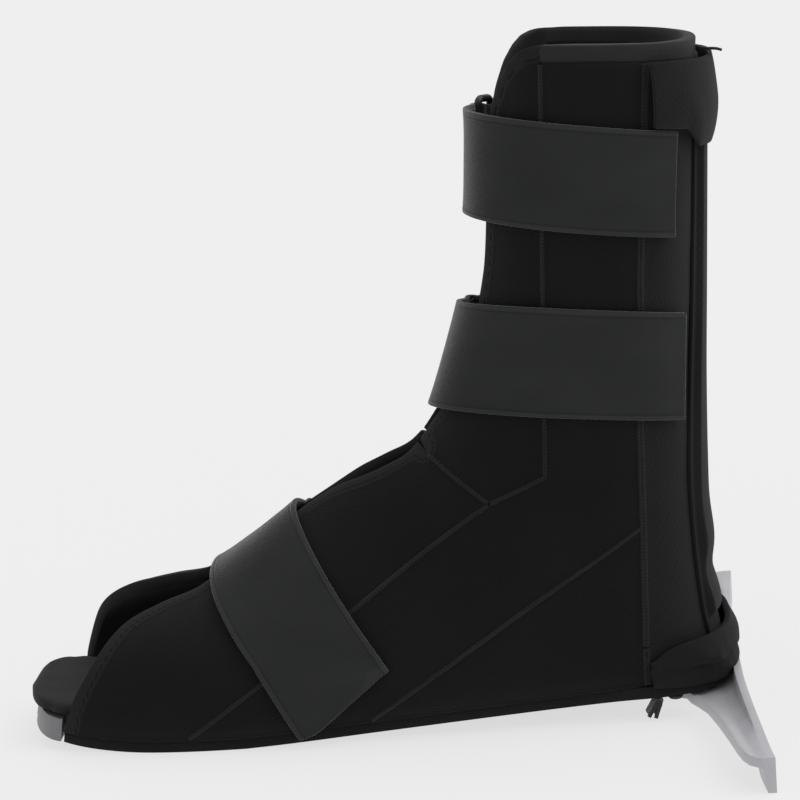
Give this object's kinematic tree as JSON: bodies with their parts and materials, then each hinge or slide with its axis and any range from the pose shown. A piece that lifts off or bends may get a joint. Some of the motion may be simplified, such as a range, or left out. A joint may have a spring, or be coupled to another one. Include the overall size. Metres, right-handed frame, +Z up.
{
  "type": "anti-rotation orthopaedic boot",
  "caption": "Padded cloth ankle boot, open at the front and the toes, with hook-and-loop straps and a stiff sole whose cross bar behind the heel keeps the lying leg from turning.",
  "frame": {"origin": "centre of the bounding box in plan, on the surface the boot stands on", "axes": "+X from the toes to the heel, +Y from the near side to the far side, +Z up"},
  "size_m": [0.288, 0.256, 0.2631],
  "materials": {
    "loop_cloth": "matt black loop-pile cloth laminated on foam",
    "knit_cloth": "matt dark ribbed knit laminated on foam",
    "trim_cloth": "matt dark grey edge trim",
    "webbing": "matt dark grey woven webbing",
    "foot_cloth": "matt dark grey brushed cloth on foam",
    "grey_plastic": "satin light grey moulded plastic",
    "black_plastic": "satin black moulded plastic"
  },
  "bodies": {
    "root": {"shin_flap_near": "loop_cloth", "shin_flap_far": "loop_cloth", "vamp_near": "loop_cloth", "vamp_far": "loop_cloth", "side_panel_near": "loop_cloth", "side_panel_far": "loop_cloth", "heel_panel_near": "loop_cloth", "heel_panel_far": "loop_cloth", "heel_band": "loop_cloth", "sole_cover": "loop_cloth", "back_panel": "knit_cloth", "splint_pocket": "knit_cloth", "pocket_flap": "knit_cloth", "top_trim": "trim_cloth", "strap_upper": "webbing", "strap_lower": "webbing", "strap_forefoot": "webbing", "tab_upper": "webbing", "tab_lower": "webbing", "tab_forefoot": "webbing", "heel_tail": "webbing", "footbed": "foot_cloth", "sole_plate": "grey_plastic", "anti_rotation_bar": "grey_plastic", "ring_upper": "black_plastic", "ring_lower": "black_plastic", "ring_forefoot": "black_plastic", "bar_rivet_near": "black_plastic", "bar_rivet_far": "black_plastic", "sole_rivet_near": "black_plastic", "sole_rivet_far": "black_plastic"}
  },
  "joints": []
}
